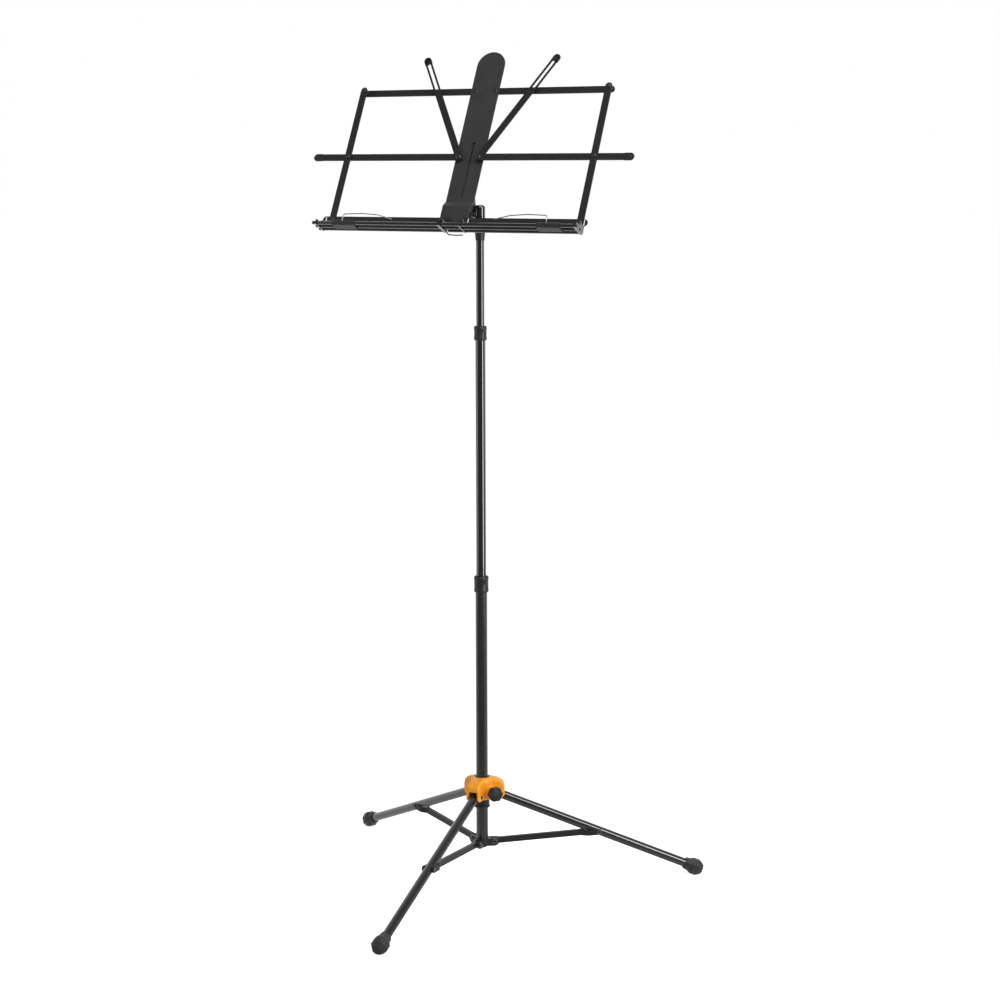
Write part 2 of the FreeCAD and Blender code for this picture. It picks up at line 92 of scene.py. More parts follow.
class StandColours(bpy.types.PropertyGroup):
    """Colours of the finishes."""
    lacquer: colour_property("Gloss lacquer", "Stoved gloss lacquer on the sliding tubes", "0B0B0B")
    satin: colour_property("Satin enamel", "Satin enamel on the lower tube", "1C1C1C")
    legs: colour_property("Leg coat", "Coat on the legs and struts", "151515")
    desk: colour_property("Desk coat", "Powder coat on the bars of the desk", "222222")
    plate: colour_property("Spine coat", "Powder coat on the spine plate", "333333")
    rods: colour_property("Rod lacquer", "Semi-gloss lacquer on the ledge rods", "101010")
    hub: colour_property("Hub", "Moulded plastic of the leg hub", "F49E24")
    nylon: colour_property("Nylon", "Moulded black nylon of collars and liners", "212121")
    knob: colour_property("Knob", "Grained plastic of the hand knobs", "1A1A1A")
    rubber: colour_property("Rubber", "Moulded rubber of feet, sleeves and caps", "202020")
    rivet: colour_property("Rivet", "Blackened steel of the rivets", "222222")
    steel: colour_property("Bright steel", "Bright plated steel of the leg rivets", "77777A")
    wire: colour_property("Spring wire", "Bright drawn spring wire", "A9AAAB")


class StandSizes(bpy.types.PropertyGroup):
    """Sizes of the worked details."""
    bar_edge: length_property("Bar edge", "Radius left on the edges of stamped flat bar", 0.32)
    plate_edge: length_property("Plate edge", "Radius left on the edges of the spine plate", 0.45)
    foot_edge: length_property("Foot edge", "Radius on the edges of a rubber foot", 0.55)
    nylon_edge: length_property("Nylon edge", "Radius on the edges of moulded nylon", 0.45)
    hub_grain: length_property("Hub voxel", "Size of the steps that the hub is rounded from", 0.55)
    hub_rounds: IntProperty(name="Hub rounding", description="Passes that round the hub", default=9, min=0)
    wire_radius: length_property("Wire radius", "Radius of the page wire", 0.65)
    wire_bend: length_property("Wire bend", "Inside radius of the bends of the page wire", 3.0)
    head_low: length_property("Low rivet head", "Radius of the lowest rivet heads", 4.0)
    head_middle: length_property("Middle rivet head", "Radius of the middle rivet heads", 4.2)
    head_top: length_property("Top rivet head", "Radius of the top rivet heads", 3.4)
    head_corner: length_property("Corner rivet head", "Radius of the corner rivet heads", 3.6)
    head_cross: length_property("Cross rivet head", "Radius of the rivets where bars cross", 3.3)
    segments: IntProperty(name="Segments", description="Faces round a turned piece", default=48, min=8)


class StageSettings(bpy.types.PropertyGroup):
    """Camera and lights."""
    azimuth: FloatProperty(name="Camera azimuth", description="Where the camera stands round the mast",
                           default=math.radians(-62.348), subtype="ANGLE", unit="ROTATION")
    distance: length_property("Camera distance", "From the mast axis to the camera", 2764.8)
    height: length_property("Camera height", "Height of the camera over the floor", 968.2)
    aim: FloatProperty(name="Aim", description="Turn of the camera away from the mast",
                       default=math.radians(-0.530), subtype="ANGLE", unit="ROTATION")
    pitch: FloatProperty(name="Pitch", description="Downward tilt of the camera",
                         default=math.radians(6.717), subtype="ANGLE", unit="ROTATION")
    roll: FloatProperty(name="Roll", description="Roll of the camera",
                        default=math.radians(-0.154), subtype="ANGLE", unit="ROTATION")
    lens: FloatProperty(name="Lens", description="Focal length for a 36 mm sensor", default=75.84, min=1.0)
    shift: FloatProperty(name="Shift", description="Vertical shift of the lens", default=-0.09)
    key: FloatProperty(name="Key light", description="Power of the softbox on the right",
                       default=25.0, min=0.0, subtype="POWER")
    fill: FloatProperty(name="Fill light", description="Power of the softbox on the left",
                        default=5.0, min=0.0, subtype="POWER")
    top: FloatProperty(name="Top light", description="Power of the large softbox overhead",
                         default=28.0, min=0.0, subtype="POWER")
    ambient: FloatProperty(name="Ambient", description="Strength of the even light all round",
                           default=0.24, min=0.0)
    room: FloatProperty(name="Room", description="How bright the room in front of the stand looks in gloss",
                        default=0.15, min=0.0)


# ---------------------------------------------------------------- node trees

def add(tree, kind, sockets=None, **settings):
    """Add a node; a socket is given a value or the output that feeds it."""
    made = tree.nodes.new(kind)
    for key, value in settings.items():
        setattr(made, key, value)
    for key, value in (sockets or {}).items():
        if isinstance(value, bpy.types.NodeSocket):
            tree.links.new(value, made.inputs[key])
        else:
            made.inputs[key].default_value = value
    return made


def noise(tree, size, detail=3.0, roughness=0.55, stretch=(1.0, 1.0, 1.0)):
    """Noise on object coordinates whose features are about size millimetres across."""
    place = add(tree, "ShaderNodeTexCoord").outputs["Object"]
    mapping = add(tree, "ShaderNodeMapping", {"Vector": place, "Scale": stretch})
    return add(tree, "ShaderNodeTexNoise", {"Vector": mapping.outputs["Vector"], "Scale": 1000 / size,
                                            "Detail": detail, "Roughness": roughness}).outputs["Fac"]


def spread(tree, value, low, high, start=0.3, end=0.7):
    """Stretch a noise value to a range."""
    return add(tree, "ShaderNodeMapRange", {"Value": value, "From Min": start, "From Max": end,
                                            "To Min": low, "To Max": high}).outputs["Result"]


def tones(tree, factor, dark, light):
    """Blend of two colours."""
    blend = add(tree, "ShaderNodeMix", data_type="RGBA")
    tree.links.new(factor, blend.inputs["Factor"])
    for socket, tone in zip([s for s in blend.inputs if s.type == "RGBA"], (dark, light)):
        if isinstance(tone, bpy.types.NodeSocket):
            tree.links.new(tone, socket)
        else:
            socket.default_value = (*tone, 1.0)
    return [s for s in blend.outputs if s.type == "RGBA"][0]


def bump(tree, height, depth, under=None):
    """Relief of the given depth in millimetres."""
    sockets = {"Height": height, "Distance": mm(depth), "Strength": 1.0}
    if under is not None:
        sockets["Normal"] = under
    return add(tree, "ShaderNodeBump", sockets).outputs["Normal"]


def edges(tree, radius):
    """1 on edges sharper than the radius in millimetres, 0 on flats."""
    soft = add(tree, "ShaderNodeBevel", {"Radius": mm(radius)}, samples=4).outputs["Normal"]
    normal = add(tree, "ShaderNodeNewGeometry").outputs["Normal"]
    alike = add(tree, "ShaderNodeVectorMath", {0: soft, 1: normal}, operation="DOT_PRODUCT").outputs["Value"]
    return add(tree, "ShaderNodeMapRange", {"Value": alike, "From Min": 0.995, "From Max": 0.82}).outputs["Result"]


def times(tree, a, b):
    return add(tree, "ShaderNodeMath", {0: a, 1: b}, operation="MULTIPLY").outputs["Value"]


def surface(name, **constants):
    """New material with values set on its shader; returns the material, its tree and a connector."""
    material = bpy.data.materials.new(name)
    material.use_nodes = True
    tree = material.node_tree
    shader = tree.nodes["Principled BSDF"]
    for key, value in constants.items():
        shader.inputs[key.replace("_", " ")].default_value = value

    def feed(key, output):
        tree.links.new(output, shader.inputs[key])
    return material, tree, feed


def lighter(colour, by):
    return tuple(min(1.0, c * by + 0.002 * (by - 1)) for c in colour)


def coated(name, colour, gloss, grain, peel, wear=0.0, specular=0.4, lacquer=0.0):
    """Black coat on steel: even colour, faint orange peel, dulled patches and polished edges."""
    material, tree, feed = surface(name, Specular_IOR_Level=specular, Coat_Weight=lacquer,
                                   Coat_Roughness=0.6 * gloss)
    tone = tones(tree, spread(tree, noise(tree, 22), 0.0, 1.0), colour, lighter(colour, 1.22))
    if wear:
        worn = times(tree, edges(tree, 0.5), spread(tree, noise(tree, 5), 0.0, wear))
        tone = tones(tree, worn, tone, linear("8A8A8C"))
    feed("Base Color", tone)
    feed("Roughness", spread(tree, noise(tree, 9, detail=5), gloss - 0.04, gloss + 0.06))
    if peel:
        feed("Normal", bump(tree, noise(tree, grain, detail=2), peel))
    return material


def gloss_lacquer(colours):
    # stoved gloss lacquer on drawn steel tube: deep black with long clean highlights
    return coated("gloss_lacquer_on_drawn_tube", colours.lacquer, 0.10, 4.0, 0.0, specular=0.8, lacquer=1.0)


def satin_enamel(colours):
    # satin stoving enamel on drawn tube: softer, greyer highlights
    return coated("satin_enamel_on_drawn_tube", colours.satin, 0.17, 2.5, 0.0, specular=0.7, lacquer=0.7)


def leg_coat(colours):
    # semi-gloss powder coat on welded tube
    return coated("semi_gloss_coat_on_leg_tube", colours.legs, 0.16, 2.2, 0.0, specular=0.7, lacquer=0.7)


def strut_coat(colours):
    # satin powder coat on pressed channel
    return coated("satin_coat_on_pressed_channel", lighter(colours.legs, 1.6), 0.36, 1.5, 0.006)


def desk_coat(colours):
    # satin powder coat on stamped flat bar: dark grey where lit
    return coated("satin_powder_coat_on_flat_bar", colours.desk, 0.36, 1.4, 0.006)


def spine_coat(colours):
    # satin powder coat on pressed sheet; its grain is 0.5 mm and drawn at 1.4 mm so that it shows
    return coated("satin_powder_coat_on_sheet", colours.plate, 0.40, 1.4, 0.010, 0.03)


def rod_lacquer(colours):
    # semi-gloss lacquer on thin rolled tube: one long highlight along each rod
    return coated("semi_gloss_lacquer_on_rod", colours.rods, 0.15, 3.0, 0.0, specular=0.9, lacquer=1.0)


def hub_plastic(colours):
    # moulded acetal in orange-yellow: glossy, slightly translucent, with faint flow marks
    material, tree, feed = surface("gloss_moulded_acetal_orange", Subsurface_Weight=0.12,
                                   Subsurface_Radius=(mm(2.4), mm(1.1), mm(0.4)), Subsurface_Scale=1.0,
                                   Specular_IOR_Level=0.5)
    flow = noise(tree, 14, detail=2, stretch=(1.0, 1.0, 0.45))
    feed("Base Color", tones(tree, spread(tree, flow, 0.0, 1.0), colours.hub, lighter(colours.hub, 1.12)))
    feed("Roughness", spread(tree, noise(tree, 6, detail=6), 0.24, 0.36))
    feed("Normal", bump(tree, noise(tree, 1.6, detail=3), 0.02))
    return material


def nylon(colours):
    # moulded black nylon: dull, with a fine spark-eroded texture
    material, tree, feed = surface("moulded_black_nylon", Specular_IOR_Level=0.5)
    feed("Base Color", tones(tree, spread(tree, noise(tree, 8), 0, 1), colours.nylon, lighter(colours.nylon, 1.3)))
    feed("Roughness", spread(tree, noise(tree, 3, detail=5), 0.34, 0.46))
    feed("Normal", bump(tree, noise(tree, 0.8, detail=2), 0.03))
    return material


def knob_plastic(colours):
    # grained glass-filled nylon: leathery pits of about a millimetre
    material, tree, feed = surface("grained_glass_filled_nylon", Specular_IOR_Level=0.4)
    place = add(tree, "ShaderNodeTexCoord").outputs["Object"]
    pits = add(tree, "ShaderNodeTexVoronoi", {"Vector": place, "Scale": 900.0}).outputs["Distance"]
    feed("Base Color", tones(tree, spread(tree, pits, 0.0, 1.0, 0.1, 0.7), colours.knob, lighter(colours.knob, 1.6)))
    feed("Roughness", spread(tree, noise(tree, 4, detail=5), 0.42, 0.60))
    feed("Normal", bump(tree, noise(tree, 0.5), 0.04, bump(tree, pits, 0.12)))
    return material


def rubber(colours):
    # moulded rubber: matt, with a dusty bloom in patches
    material, tree, feed = surface("moulded_rubber", Specular_IOR_Level=0.45, Sheen_Weight=0.08)
    bloom = spread(tree, noise(tree, 7, detail=6), 0.0, 1.0, 0.35, 0.75)
    feed("Base Color", tones(tree, bloom, colours.rubber, lighter(colours.rubber, 1.9)))
    feed("Roughness", spread(tree, noise(tree, 3, detail=4), 0.40, 0.56))
    feed("Normal", bump(tree, noise(tree, 0.9, detail=4), 0.05))
    return material


def rivet_steel(colours):
    # steel rivet under the same black coat, a little glossier
    return coated("blackened_steel_rivet", colours.rivet, 0.26, 1.2, 0.006, specular=0.5)


def bright_metal(name, colour, rough, size, stretch):
    """Bright metal with fine drawn or turned lines."""
    material, tree, feed = surface(name, Metallic=1.0)
    lines = noise(tree, size, detail=4, stretch=stretch)
    feed("Base Color", tones(tree, spread(tree, lines, 0.0, 1.0), lighter(colour, 0.86), colour))
    feed("Roughness", spread(tree, noise(tree, 2.0, detail=5), rough - 0.05, rough + 0.08))
    feed("Normal", bump(tree, lines, 0.006))
    return material


def plated_steel(colours):
    # nickel-plated steel eyelet: bright, with faint turned lines
    return bright_metal("nickel_plated_steel", colours.steel, 0.24, 0.7, (1.0, 1.0, 0.3))


def spring_wire(colours):
    # drawn stainless spring wire: bright, with faint drawing lines along it
    return bright_metal("drawn_spring_wire", colours.wire, 0.18, 0.6, (0.1, 1.0, 1.0))


FINISHES = {
    "tube_gloss": gloss_lacquer, "tube_satin": satin_enamel, "leg_black": leg_coat, "strut_black": strut_coat,
    "desk_black": desk_coat, "spine": spine_coat, "rod_black": rod_lacquer, "hub_orange": hub_plastic,
    "black_plastic": nylon, "knob_plastic": knob_plastic, "black_rubber": rubber, "dark_rivet": rivet_steel,
    "bright_steel": plated_steel, "spring_wire": spring_wire, "head_gloss": gloss_lacquer,
}
_made = {}


def finish_of(slot):
    """The material of a slot, made once."""
    if slot not in _made:
        _made[slot] = FINISHES[slot](bpy.context.scene.stand_colours)
    return _made[slot]


# ---------------------------------------------------------------- pieces

def show(name, mesh):
    obj = bpy.data.objects.new(name, mesh)
    bpy.context.scene.collection.objects.link(obj)
    return obj


def settle(obj, *nodes, slot=None):
    """Put a finished piece in place of CAD nodes, on their body and in their slot."""
    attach(obj, BODY_OF[nodes[0]])
    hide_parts(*nodes)
    if slot:
        obj.data.materials.clear()
        obj.data.materials.append(finish_of(slot))
    return obj


def dress(node, slot=None):
    """Give a CAD piece its finish."""
    obj = NODES[node]
    obj.data.materials.clear()
    obj.data.materials.append(finish_of(slot or SLOT_OF[node]))


def whole(node):
    """Copy of a CAD mesh with its seams merged and its flats made single faces."""
    mesh = NODES[node].data.copy()
    normals = mesh.attributes.get("custom_normal")
    if normals:
        mesh.attributes.remove(normals)
    shape = bmesh.new()
    shape.from_mesh(mesh)
    bmesh.ops.remove_doubles(shape, verts=shape.verts, dist=SEAM)
    bmesh.ops.dissolve_limit(shape, angle_limit=FLAT, verts=shape.verts, edges=shape.edges)
    for face in shape.faces:
        face.smooth = True
    shape.to_mesh(mesh)
    shape.free()
    for edge in mesh.edges:
        edge.use_edge_sharp = False
    return mesh


def round_edges(obj, radius, segments=2, angle=34.0):
    """Round a piece's sharp edges."""
    bevel = obj.modifiers.new("Edges", "BEVEL")
    bevel.width = radius
    bevel.segments = segments
    bevel.limit_method = "ANGLE"
    bevel.angle_limit = math.radians(angle)
    bevel.harden_normals = True
    return obj


def eased(node, radius, slot=None, segments=2, angle=34.0):
    """A CAD piece with its sharp edges rounded."""
    obj = round_edges(show(node + "_eased", whole(node)), radius, segments, angle)
    return settle(obj, node, slot=slot or SLOT_OF[node])


def plain(obj):
    """Turn an object's modifiers into its mesh."""
    graph = bpy.context.evaluated_depsgraph_get()
    graph.update()
    mesh = bpy.data.meshes.new_from_object(obj.evaluated_get(graph))
    obj.modifiers.clear()
    obj.data = mesh
    return obj


def moulded(node, voxel, rounds):
    """A CAD piece with the soft edges and filled corners of a moulding."""
    obj = show(node + "_moulded", whole(node))
    remesh = obj.modifiers.new("Skin", "REMESH")
    remesh.mode = "VOXEL"
    remesh.voxel_size = voxel
    remesh.use_smooth_shade = True
    soft = obj.modifiers.new("Round", "SMOOTH")
    soft.factor = 0.5
    soft.iterations = rounds
    return settle(plain(obj), node, slot=SLOT_OF[node])


# ---------------------------------------------------------------- geometry trees

def new_tree(name, inputs):
    """Geometry tree with named inputs; returns the tree, its inputs and its output node."""
    tree = bpy.data.node_groups.new(name, "GeometryNodeTree")
    tree.interface.new_socket("Geometry", in_out="INPUT", socket_type="NodeSocketGeometry")
    for label, kind in inputs:
        tree.interface.new_socket(label, in_out="INPUT", socket_type="NodeSocket" + kind)
    tree.interface.new_socket("Geometry", in_out="OUTPUT", socket_type="NodeSocketGeometry")
    given = add(tree, "NodeGroupInput")
    return tree, given.outputs, add(tree, "NodeGroupOutput")


def math_node(tree, operation, *values):
    return add(tree, "ShaderNodeMath", dict(enumerate(values)), operation=operation).outputs[0]


def turned_tree():
    """Turns a profile of (radius, height) points about an axis at every input point.
    Lobes wave the rim in and out, as on a hand knob."""
    tree, given, out = new_tree("Turned pieces", (
        ("Profile", "Object"), ("Segments", "Int"), ("Lobes", "Float"), ("Lobe Depth", "Float"),
        ("Rim Radius", "Float"), ("Axis", "Vector"), ("Material", "Material")))
    profile = add(tree, "GeometryNodeObjectInfo", {"Object": given["Profile"]}).outputs["Geometry"]
    count = add(tree, "GeometryNodeAttributeDomainSize", {"Geometry": profile}).outputs["Point Count"]
    around = math_node(tree, "ADD", given["Segments"], 1.0)
    grid = add(tree, "GeometryNodeMeshGrid", {"Size X": 1.0, "Size Y": 1.0, "Vertices X": count,
                                              "Vertices Y": around}).outputs["Mesh"]
    place = add(tree, "GeometryNodeInputPosition").outputs[0]
    spot = add(tree, "ShaderNodeSeparateXYZ", {0: place}).outputs
    steps = math_node(tree, "MULTIPLY", math_node(tree, "ADD", spot["X"], 0.5), math_node(tree, "SUBTRACT", count, 1.0))
    turn = math_node(tree, "MULTIPLY", math_node(tree, "ADD", spot["Y"], 0.5), math.tau)
    sample = add(tree, "GeometryNodeSampleIndex", data_type="FLOAT_VECTOR")
    tree.links.new(profile, sample.inputs["Geometry"])
    tree.links.new(place, sample.inputs["Value"])
    tree.links.new(math_node(tree, "ROUND", steps), sample.inputs["Index"])
    point = add(tree, "ShaderNodeSeparateXYZ", {0: sample.outputs["Value"]}).outputs
    share = math_node(tree, "DIVIDE", point["X"], given["Rim Radius"])
    wave = math_node(tree, "COSINE", math_node(tree, "MULTIPLY", turn, given["Lobes"]))
    swell = math_node(tree, "MULTIPLY", math_node(tree, "MULTIPLY", wave, given["Lobe Depth"]),
                      math_node(tree, "POWER", share, 4.0))
    radius = math_node(tree, "ADD", point["X"], swell)
    where = add(tree, "ShaderNodeCombineXYZ", {
        "X": math_node(tree, "MULTIPLY", radius, math_node(tree, "COSINE", turn)),
        "Y": math_node(tree, "MULTIPLY", radius, math_node(tree, "SINE", turn)), "Z": point["Z"]}).outputs[0]
    bent = add(tree, "GeometryNodeSetPosition", {"Geometry": grid, "Position": where}).outputs[0]
    closed = add(tree, "GeometryNodeMergeByDistance", {"Geometry": bent, "Distance": SEAM}).outputs[0]
    points = add(tree, "GeometryNodeMeshToPoints", {"Mesh": given["Geometry"]}).outputs[0]
    lean = add(tree, "FunctionNodeAlignRotationToVector", {"Vector": given["Axis"]}, axis="Z").outputs[0]
    copies = add(tree, "GeometryNodeInstanceOnPoints", {"Points": points, "Instance": closed,
                                                        "Rotation": lean}).outputs[0]
    real = add(tree, "GeometryNodeRealizeInstances", {"Geometry": copies}).outputs[0]
    done = add(tree, "GeometryNodeSetMaterial", {"Geometry": real, "Material": given["Material"]}).outputs[0]
    tree.links.new(done, out.inputs[0])
    return tree


def wire_tree():
    """Rounds the corners of a line and gives it the thickness of a wire."""
    tree, given, out = new_tree("Bent wire", (
        ("Wire Radius", "Float"), ("Bend Radius", "Float"), ("Material", "Material")))
    line = add(tree, "GeometryNodeMeshToCurve", {"Mesh": given["Geometry"]}).outputs[0]
    bent = add(tree, "GeometryNodeFilletCurve")
    if "Mode" in bent.inputs:
        bent.inputs["Mode"].default_value = "Poly"
    else:
        bent.mode = "POLY"
    bent.inputs["Count"].default_value = 8
    bent.inputs["Limit Radius"].default_value = True
    tree.links.new(line, bent.inputs["Curve"])
    tree.links.new(given["Bend Radius"], bent.inputs["Radius"])
    ring = add(tree, "GeometryNodeCurvePrimitiveCircle", {"Resolution": 14, "Radius": given["Wire Radius"]})
    skin = add(tree, "GeometryNodeCurveToMesh", {"Curve": bent.outputs[0], "Profile Curve": ring.outputs[0],
                                                 "Fill Caps": True}).outputs[0]
    real = add(tree, "GeometryNodeRealizeInstances", {"Geometry": skin}).outputs[0]
    done = add(tree, "GeometryNodeSetMaterial", {"Geometry": real, "Material": given["Material"]}).outputs[0]
    tree.links.new(done, out.inputs[0])
    return tree


_trees = {}


def tree_named(name):
    if name not in _trees:
        _trees[name] = {"turned": turned_tree, "wire": wire_tree}[name]()
    return _trees[name]


def run_tree(name, points, links, tree, values):
    """Plain mesh that a tree makes from points, as an object."""
    base = bpy.data.meshes.new(name)
    base.from_pydata([tuple(p) for p in points], links, [])
    obj = show(name, base)
    modifier = obj.modifiers.new("Shape", "NODES")
    modifier.node_group = tree
    for item in tree.interface.items_tree:
        if item.in_out == "INPUT" and item.name in values:
            modifier[item.identifier] = values[item.name]
    return plain(obj)


def tidy_normals(obj):
    """Outward faces, smooth but for real edges."""
    shape = bmesh.new()
    shape.from_mesh(obj.data)
    bmesh.ops.dissolve_degenerate(shape, edges=shape.edges, dist=SEAM / 10)
    bmesh.ops.recalc_face_normals(shape, faces=shape.faces)
    for face in shape.faces:
        face.smooth = True
    shape.to_mesh(obj.data)
    shape.free()
    obj.data.set_sharp_from_angle(angle=SMOOTH)
    return obj


def turn(name, profile, points, axis, slot, lobes=0, depth=0.0, rim=1.0, segments=None):
    """Pieces turned from a profile in millimetres, at points in metres, along an axis."""
    outline = bpy.data.meshes.new(name + "_profile")
    outline.from_pydata([(mm(r), 0.0, mm(h)) for r, h in profile], [], [])
    pattern = show(name + "_profile", outline)
    values = {"Profile": pattern, "Segments": segments or bpy.context.scene.stand_sizes.segments,
              "Lobes": float(lobes), "Lobe Depth": mm(depth), "Rim Radius": mm(rim), "Axis": tuple(axis),
              "Material": finish_of(slot)}
    obj = run_tree(name, points, [], tree_named("turned"), values)
    bpy.data.objects.remove(pattern)
    return tidy_normals(obj)


def merge(name, objects):
    """One piece from several turned ones."""
    shape = bmesh.new()
    for obj in objects:
        shape.from_mesh(obj.data)
    mesh = objects[0].data
    shape.to_mesh(mesh)
    shape.free()
    for obj in objects[1:]:
        bpy.data.objects.remove(obj)
    objects[0].name = name
    return tidy_normals(objects[0])


def arc(cr, ch, r, start, end, steps=6):
    """Points (radius, height) of an arc in a profile, angles in degrees from outwards."""
    angles = [math.radians(start + (end - start) * k / steps) for k in range(steps + 1)]
    return [(cr + r * math.cos(a), ch + r * math.sin(a)) for a in angles]


def domed(r, h, steps=8):
    """Dome of a rivet head from its rim to its crown, with the tool's shallow dimple."""
    rise = [math.radians(90 * k / steps) for k in range(steps + 1)]
    out = [(r * math.cos(a), h * math.sin(a)) for a in rise[:-1]]
    return out + [(r * 0.16, h * 0.97), (0.0, h * 0.93)]


# ---------------------------------------------------------------- mast

class STAND_OT_mast(bpy.types.Operator):
    """Finish the three tubes, their inner guides and the stop ring"""
    bl_idname = "stand.mast"
    bl_label = "Mast tubes"

    def execute(self, context):
        for node in ("mast_lower_tube", "mast_middle_tube", "mast_upper_tube"):
            dress(node)
        for node in ("middle_tube_guide", "upper_tube_guide"):
            dress(node)
        low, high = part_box("stop_ring")
        middle = (low + high) / 2
        outer, half = 1000 * (high.x - low.x) / 2, 1000 * (high.z - low.z) / 2
        profile = [(8.05, -half * 0.7), (8.05, half * 0.7)] + arc(outer - half, 0, half, 90, -90, 12)
        ring = turn("stop_ring_moulded", profile + [(8.05, -half * 0.7)], [middle], (0, 0, 1), "black_rubber")
        settle(ring, "stop_ring")
        return {"FINISHED"}


class STAND_OT_collars(bpy.types.Operator):
    """Turn the two lock collars"""
    bl_idname = "stand.collars"
    bl_label = "Lock collars"

    def execute(self, context):
        self.collar("lower_lock_collar", "mast_lower_tube", "mast_middle_tube", True)
        self.collar("upper_lock_collar", "mast_middle_tube", "mast_upper_tube", False)
        return {"FINISHED"}

    def collar(self, node, outer_tube, inner_tube, recess):
        low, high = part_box(node)
        r, h = 1000 * (high.x - low.x) / 2, 1000 * (high.z - low.z)
        shell = 1000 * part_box(outer_tube)[1].x + 0.02
        bore = 1000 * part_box(inner_tube)[1].x + 0.06
        seat = 1000 * (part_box(outer_tube)[1].z - low.z)
        rim = 1.3
        outside = [(shell, 0.0), (r - rim, 0.0), (r - 0.25, rim * 0.75), (r, rim + 0.4), (r, 4.4), (r - 0.35, 4.9)]
        outside += [(r - 0.35, h - 5.2), (r, h - 4.7), (r, h - rim - 0.3), (r - 0.3, h - rim * 0.6), (r - rim, h)]
        lip = [(bore + 1.7, h), (bore + 1.1, h - 1.5)] if recess else [(bore + 0.7, h), (bore + 0.1, h - 0.7)]
        profile = outside + lip + [(bore, h - 1.6), (bore, seat), (shell, seat), (shell, 0.0)]
        base = Vector((0.0, 0.0, low.z))
        settle(turn(node + "_turned", profile, [base], (0, 0, 1), "black_plastic"), node)


# ---------------------------------------------------------------- tripod

class STAND_OT_hub(bpy.types.Operator):
    """Mould the leg hub and finish its pins"""
    bl_idname = "stand.hub"
    bl_label = "Leg hub"

    def execute(self, context):
        sizes = context.scene.stand_sizes
        moulded("leg_hub", sizes.hub_grain, sizes.hub_rounds)
        self.pins()
        self.liner()
        return {"FINISHED"}

    def pins(self):
        """Leg pins, dark ends showing in the cheeks of the hub."""
        made = []
        for n in LEGS:
            joint = JOINTS["leg_%d_fold" % n]
            half = 9.7
            profile = [(0.0, half)] + arc(1.9, half - 0.5, 0.5, 90, 0, 3) + arc(1.9, 0.5 - half, 0.5, 0, -90, 3)
            profile.append((0.0, -half))
            made.append(turn("hub_pin_%d" % n, profile, [Vector(joint["pos_m"])], joint["axis"], "dark_rivet"))
        settle(merge("hub_pins_turned", made), "hub_pins")

    def liner(self):
        """Sleeve between hub and tube; it ends just under the hub's top edge."""
        low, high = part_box("hub_liner")
        bore = 1000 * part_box("mast_lower_tube")[1].x + 0.06
        outer, top = 1000 * high.x, 1000 * (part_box("leg_hub")[1].z - low.z)
        profile = [(bore, 0.0), (outer - 0.5, 0.0), (outer, 0.5), (outer, top - 1.6), (bore + 1.0, top - 0.5),
                   (bore, top - 0.5), (bore, 0.0)]
        settle(turn("hub_liner_turned", profile, [Vector((0, 0, low.z))], (0, 0, 1), "black_plastic"), "hub_liner")


class STAND_OT_knobs(bpy.types.Operator):
    """Shape the hand knobs of the hub and of the desk tilt"""
    bl_idname = "stand.knobs"
    bl_label = "Hand knobs"

    def execute(self, context):
        hub = JOINTS["hub_clamp_turn"]
        start = Vector(hub["pos_m"])
        head = [(0.0, 8.4), (3.0, 8.4), (3.0, 23.6), (5.0, 23.6), (5.2, 26.4)] + self.grip(9.3, 26.5, 38.0)
        knob = turn("hub_knob_grip", head, [start], hub["axis"], "knob_plastic", 6, 0.7, 9.3, 96)
        settle(knob, "hub_knob")
        tilt = JOINTS["tilt_clamp_turn"]
        low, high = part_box("tilt_knob")
        root = Vector((high.x, tilt["pos_m"][1], tilt["pos_m"][2]))
        long = 1000 * (high.x - low.x)
        grip = [(2.3, 0.0), (5.4, 0.0), (5.6, 1.9)] + self.grip(10.6, 2.0, long)
        grip[-1] = (2.3, grip[-1][1])
        knob = turn("tilt_knob_grip", grip + [(2.3, 0.0)], [root], (-1, 0, 0), "knob_plastic", 5, 1.3, 10.6, 96)
        settle(knob, "tilt_knob")
        return {"FINISHED"}

    def grip(self, r, low, high):
        """Rim and crowned face of a knob."""
        soft = 1.6
        skirt = [(r - 1.2, low), (r - 0.3, low + 0.5), (r, low + 1.4), (r, high - 3.4)]
        crown = arc(r - soft, high - 3.4, soft, 0, 62, 5)
        return skirt + crown + [(r * 0.62, high - 0.55), (r * 0.45, high - 0.1), (r * 0.3, high), (0.0, high)]


class STAND_OT_tripod(bpy.types.Operator):
    """Finish the legs, rubber feet and bottom collar"""
    bl_idname = "stand.tripod"
    bl_label = "Tripod"

    def execute(self, context):
        sizes = context.scene.stand_sizes
        for n in LEGS:
            dress("leg_%d" % n)
            eased("foot_%d" % n, sizes.foot_edge, segments=3, angle=20.0)
        eased("bottom_collar", sizes.nylon_edge)
        return {"FINISHED"}


